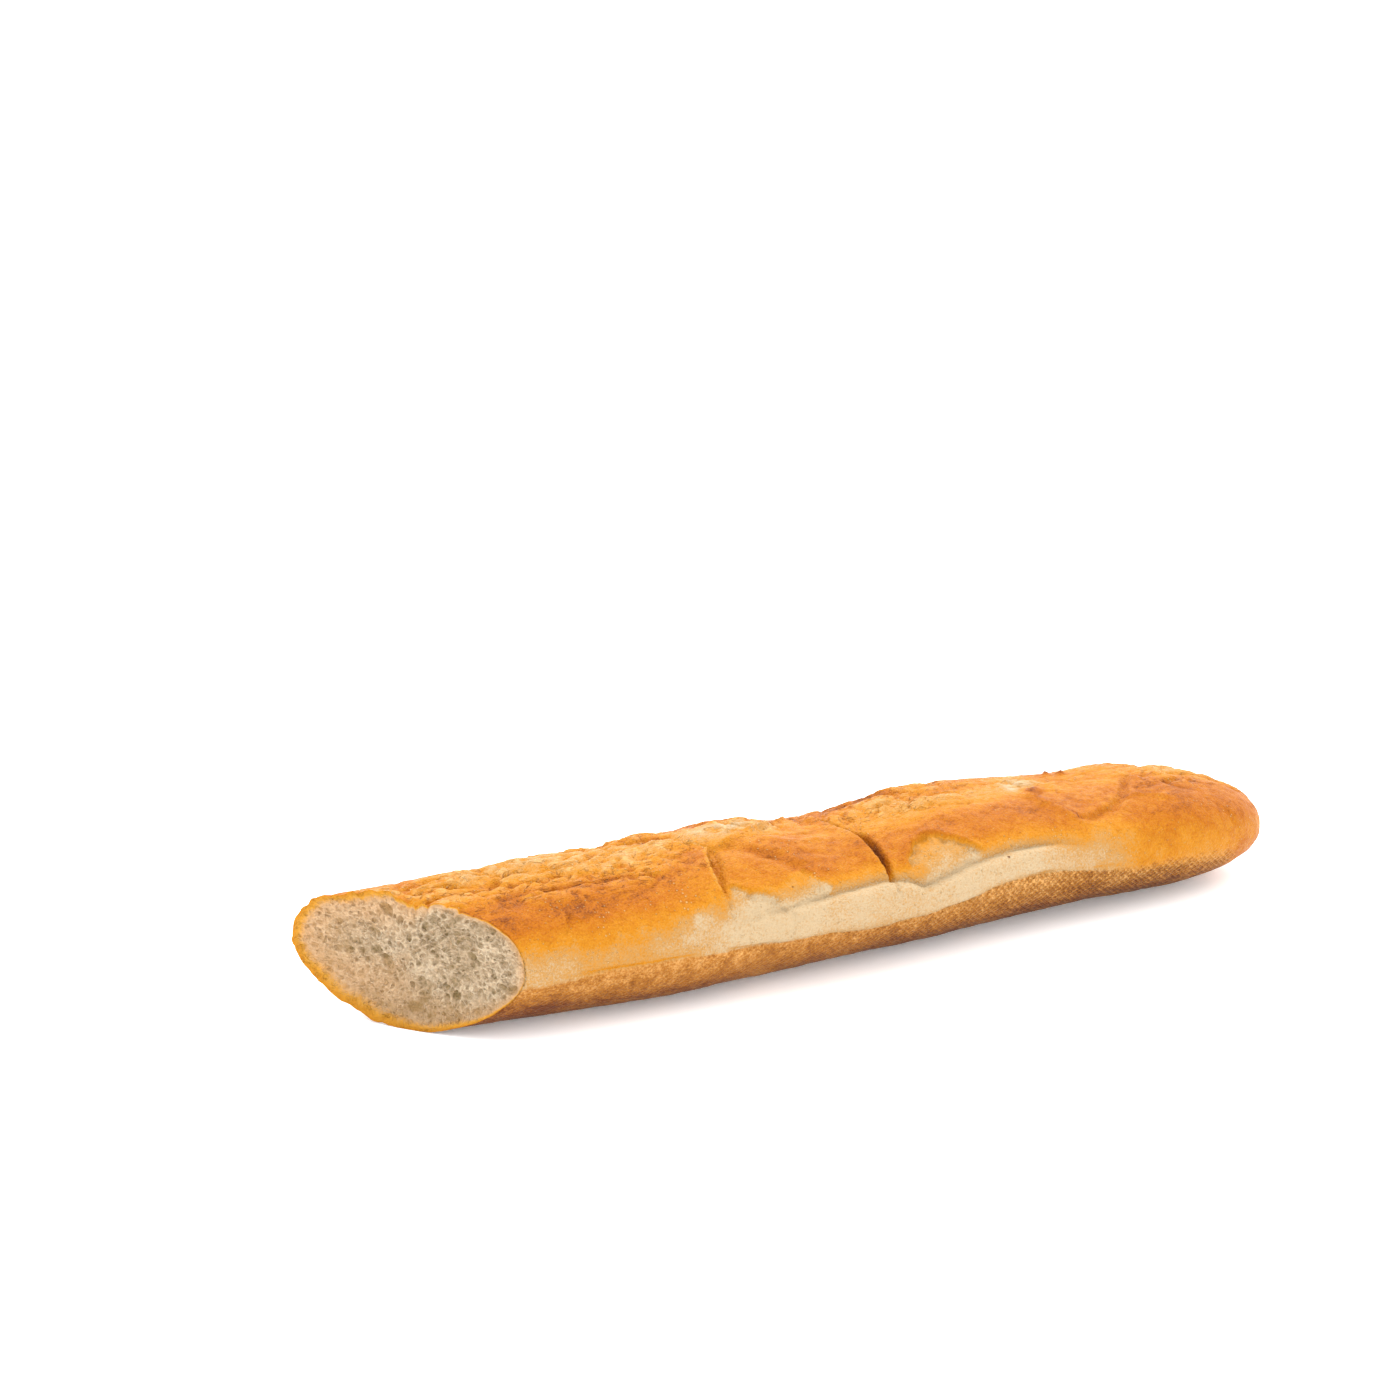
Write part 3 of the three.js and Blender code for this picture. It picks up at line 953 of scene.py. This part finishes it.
def wheat_crumb(colours):
    """Wheat crumb, sliced: a soft dry foam of small bubbles with torn walls, matt and a little
    see-through."""
    material, tree, shader = new_material("Sliced wheat crumb")
    add = partial(add_node, tree)
    place = add("TexCoord", out=3)
    pit, wall, rind, warmth = (add("Attribute", attribute_name=name, out=2)
                               for name in ("pit", "wall", "rind", "warmth"))

    # Bubbles 1.7 mm across with thin walls, pulled out of round by up to about 1 mm.
    pull = add("TexNoise", place, Scale=per_mm(2.4), Detail=2.0, out=1)
    pull = add("VectorMath SUBTRACT", pull, (0.5, 0.5, 0.5))
    pull = add("VectorMath MULTIPLY", pull, (2.2 * MM, 2.2 * MM, 2.2 * MM))
    pulled = add("VectorMath ADD", place, pull)
    edges = add("TexVoronoi", pulled, feature="DISTANCE_TO_EDGE", Scale=per_mm(1.7))
    chosen = add("TexVoronoi", pulled, Scale=per_mm(1.7), out=1)
    chosen = add("SeparateXYZ", chosen)
    hollow = add("MapRange", edges, 0.04, 0.34, interpolation_type="SMOOTHSTEP")
    hollow = add("Math MULTIPLY", hollow, chosen)
    # Torn strands of 0.9 mm, and denser and looser places about 8 mm across.
    strands = add("TexNoise", pulled, Scale=per_mm(0.9), Detail=4.0, Roughness=0.7)
    torn = add("Math MULTIPLY_ADD", strands, 1.1, -0.55)
    clouds = add("TexNoise", place, Scale=per_mm(8), Detail=3.0)
    drift = add("Math MULTIPLY_ADD", clouds, 0.30, -0.15)
    # Painted shade and highlight: the hollows and open bubbles, and the crumb towards the
    # underside, are coloured darker, and the raised bubble walls lighter.
    level = 0.53
    for pattern, amount in ((hollow, -0.30), (pit, -0.56), (wall, 0.22)):
        level = add("Math MULTIPLY_ADD", pattern, amount, level)
    level = add("Math ADD", level, torn)
    level = add("Math ADD", level, drift, use_clamp=True)
    crumb = add("ValToRGB", level, stops=(
        (0.0, colours.pore), (1.0, colours.crumb_light), (0.5, colours.crumb)))
    warm = add("Math MULTIPLY", warmth, 0.55)
    crumb = add("Mix", warm, crumb, tuple(colours.crumb_warm), data_type="RGBA")

    # The baked rim: a ragged line of crust that fades into the crumb.
    ragged = add("Math MULTIPLY_ADD", strands, 1.3, -0.60)
    ragged = add("Math ADD", ragged, rind)
    edge = add("MapRange", ragged, 0.0, 0.75, interpolation_type="SMOOTHSTEP")
    baked = add("ValToRGB", rind, stops=(
        (0.0, colours.crumb_warm), (1.0, colours.golden), (0.60, colours.rim)))
    whole = add("Mix", edge, crumb, baked, data_type="RGBA")
    relief = add("Math MULTIPLY_ADD", hollow, -0.9, strands)
    bumps = add("Bump", Distance=0.9 * MM, Height=relief)
    feed(tree, shader, Base_Color=whole, Roughness=0.9, Specular_IOR_Level=0.15,
         Subsurface_Weight=0.2, Subsurface_Scale=1.0,
         Subsurface_Radius=(1.2 * MM, 0.9 * MM, 0.6 * MM), Normal=bumps)
    return material


def plain_floor(stage):
    """White acrylic board, matt and lit from below: it keeps the loaf's shadow light and soft."""
    material, tree, shader = new_material("Matt lit acrylic board")
    feed(tree, shader, Base_Color=tuple(stage.floor_colour), Roughness=0.8,
         Specular_IOR_Level=0.1, Emission_Color=(1, 1, 1, 1), Emission_Strength=stage.floor_glow)
    return material


# ==========
# Properties
# ==========

def colour(name, description, hex_colour):
    return bpy.props.FloatVectorProperty(
        name=name, description=description, default=srgb(hex_colour), size=4, subtype="COLOR",
        min=0.0, max=1.0)


def amount(name, description, default, **more):
    return bpy.props.FloatProperty(name=name, description=description, default=default, **more)


class BAGUETTE_PG_loaf(bpy.types.PropertyGroup):
    points_around: bpy.props.IntProperty(
        name="Points around", description="Points round the crust's section", default=200, min=24)
    rings: bpy.props.IntProperty(
        name="Rings", description="Rings of points along the crust", default=360, min=24)
    face_rings: bpy.props.IntProperty(
        name="Face rings", description="Rings of points on the cut face", default=56, min=8)
    wrinkle_depth: amount("Wrinkle depth", "Depth of the wrinkles on top of the crust",
                          0.0014, min=0.0, unit="LENGTH", subtype="DISTANCE")


class BAGUETTE_PG_colours(bpy.types.PropertyGroup):
    pale: colour("Pale dough", "Crust that split late and hardly browned", "#A28D6E")
    straw: colour("Straw", "Crust that has just begun to colour", "#9C7440")
    golden: colour("Golden", "Well baked crust", "#A56A10")
    orange: colour("Orange", "Fully baked crust", "#925002")
    brown: colour("Brown", "Edges that caught the heat", "#5E2C07")
    # Also the colour of the painted sheen and glints on the crust.
    blister_and_sheen: colour("Blister", "Fine blisters on the crust", "#C9A473")
    tray_light: colour("Underside light", "Underside between the tray's dimples", "#BC8B50")
    tray_mid: colour("Underside", "Underside of the loaf", "#905B1E")
    tray_dark: colour("Underside dark", "Underside where it touched the tray", "#5C2D0C")
    crumb: colour("Crumb", "Cut crumb", "#958167")
    # Also a painted highlight on the raised bubble walls.
    crumb_light: colour("Crumb strands", "Torn bubble walls that stand proud", "#C2B197")
    crumb_warm: colour("Warm crumb", "Crumb next to the crust", "#B88A5A")
    rim: colour("Rim", "Cut edge of the crust", "#B4802C")
    # Painted shade: the darker colour of the shaded insides of the bubbles.
    pore: colour("Pores", "Inside of the open bubbles", "#72603F")


class BAGUETTE_PG_stage(bpy.types.PropertyGroup):
    floor_colour: colour("Floor", "Matt floor", "#FAFAFA")
    floor_glow: amount("Floor glow", "Brightness of the floor's own light", 0.15, min=0.0)
    floor_size: amount("Floor size", "Side of the square floor", 30.0,
                       unit="LENGTH", subtype="DISTANCE")
    fill: amount("Fill", "Brightness of the surroundings in front", 2.2, min=0.0)
    glow: amount("Glow", "Brightness of the surroundings above and behind", 2.6, min=0.0)
    light_from: bpy.props.FloatVectorProperty(
        name="Light from", description="Direction that the light comes from",
        default=(0.2, 0.4, 1.0), size=3, subtype="DIRECTION")
    key_power: amount("Key light", "Strength of the soft light above and behind", 2.4, min=0.0)
    key_spread: amount("Key spread", "How wide the soft light looks from the loaf",
                       math.radians(40), unit="ROTATION", subtype="ANGLE")
    camera_place: bpy.props.FloatVectorProperty(
        name="Camera", description="Camera's place, from the point under the loaf's middle",
        default=(-0.5042, -0.8403, 0.3853), size=3, unit="LENGTH", subtype="TRANSLATION")
    camera_turn: amount("Turn", "How far the camera looks round from +Y towards +X",
                        math.radians(28.42), unit="ROTATION", subtype="ANGLE")
    camera_tilt: amount("Tilt", "How far the camera looks down",
                        math.radians(16.77), unit="ROTATION", subtype="ANGLE")
    lens: amount("Lens", "Focal length on a 36 mm wide frame, in millimetres", 77.1)


# ==========
# Operators
# ==========

def new_object(name, data):
    thing = bpy.data.objects.new(name, data)
    bpy.context.scene.collection.objects.link(thing)
    return thing


class BAGUETTE_OT_loaf(bpy.types.Operator):
    """Shape the loaf with its crust and cut face, and give it its materials"""

    bl_idname = "baguette.loaf"
    bl_label = "Bake the loaf"

    def execute(self, context):
        loaf = context.scene.baguette_loaf
        colours = context.scene.baguette_colours
        mesh = build_loaf(loaf)
        piece = new_object("baguette", mesh)
        mesh.materials.append(wheat_crust(colours))
        mesh.materials.append(wheat_crumb(colours))
        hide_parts(LOAF_NODE)
        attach(piece, "root")
        return {"FINISHED"}


class BAGUETTE_OT_stage(bpy.types.Operator):
    """Lay the pale floor, light it softly and place the camera"""

    bl_idname = "baguette.stage"
    bl_label = "Set the stage"

    def execute(self, context):
        scene = context.scene
        stage = scene.baguette_stage
        half = stage.floor_size / 2
        mesh = bpy.data.meshes.new("floor")
        mesh.from_pydata([(-half, -half, 0), (half, -half, 0), (half, half, 0), (-half, half, 0)],
                         [], [(0, 1, 2, 3)])
        mesh.materials.append(plain_floor(stage))
        floor = new_object("floor", mesh)

        world = bpy.data.worlds.new("white surroundings")
        world.use_nodes = True
        world.node_tree.nodes.clear()
        add = partial(add_node, world.node_tree)
        # The surroundings are bright above and behind and dimmer in front. They look plain white.
        direction = add("TexCoord")
        facing = add("VectorMath DOT_PRODUCT", direction, Vector(stage.light_from).normalized())
        glow = add("MapRange", facing, -0.35, 0.95, stage.fill, stage.glow,
                   interpolation_type="SMOOTHSTEP")
        lit = add("Background", (1, 1, 1, 1), glow)
        seen = add("Background", (1, 1, 1, 1), 1.0)
        is_seen = add("LightPath")
        either = add("MixShader", is_seen, lit, seen)
        output = world.node_tree.nodes.new("ShaderNodeOutputWorld")
        feed(world.node_tree, output, Surface=either)
        scene.world = world

        key = bpy.data.lights.new("softbox", "SUN")
        key.angle = stage.key_spread
        key.energy = stage.key_power
        lamp = new_object("softbox", key)
        lamp.location = Vector(stage.light_from)
        lamp.rotation_euler = (-lamp.location).to_track_quat("-Z", "Y").to_euler()

        camera = bpy.data.cameras.new("camera")
        camera.lens = stage.lens
        camera.sensor_width = SENSOR_WIDTH
        viewer = new_object("camera", camera)
        viewer.location = stage.camera_place
        viewer.rotation_euler = (math.pi / 2 - stage.camera_tilt, 0.0, -stage.camera_turn)
        bpy.context.scene.camera = viewer
        scene.view_settings.view_transform = "Standard"
        return {"FINISHED"}


class BAGUETTE_PT_panel(bpy.types.Panel):
    """Lists the steps that make the baguette"""

    bl_idname = "BAGUETTE_PT_panel"
    bl_label = "Baguette"
    bl_space_type = "VIEW_3D"
    bl_region_type = "UI"
    bl_category = "Baguette"

    def draw(self, context):
        layout = self.layout
        scene = context.scene
        for group in (scene.baguette_loaf, scene.baguette_colours, scene.baguette_stage):
            box = layout.box()
            for name in group.bl_rna.properties.keys():
                if name not in {"rna_type", "name"}:
                    box.prop(group, name)
        layout.operator(BAGUETTE_OT_loaf.bl_idname)
        layout.operator(BAGUETTE_OT_stage.bl_idname)


SETTINGS = {"baguette_loaf": BAGUETTE_PG_loaf, "baguette_colours": BAGUETTE_PG_colours,
            "baguette_stage": BAGUETTE_PG_stage}
CLASSES = (*SETTINGS.values(), BAGUETTE_OT_loaf, BAGUETTE_OT_stage, BAGUETTE_PT_panel)


def register():
    for cls in CLASSES:
        bpy.utils.register_class(cls)
    for name, group in SETTINGS.items():
        setattr(bpy.types.Scene, name, bpy.props.PointerProperty(type=group))


def unregister():
    for name in SETTINGS:
        delattr(bpy.types.Scene, name)
    for cls in reversed(CLASSES):
        bpy.utils.unregister_class(cls)


def main():
    register()
    bpy.ops.baguette.loaf()
    bpy.ops.baguette.stage()


if __name__ == "__main__":
    main()
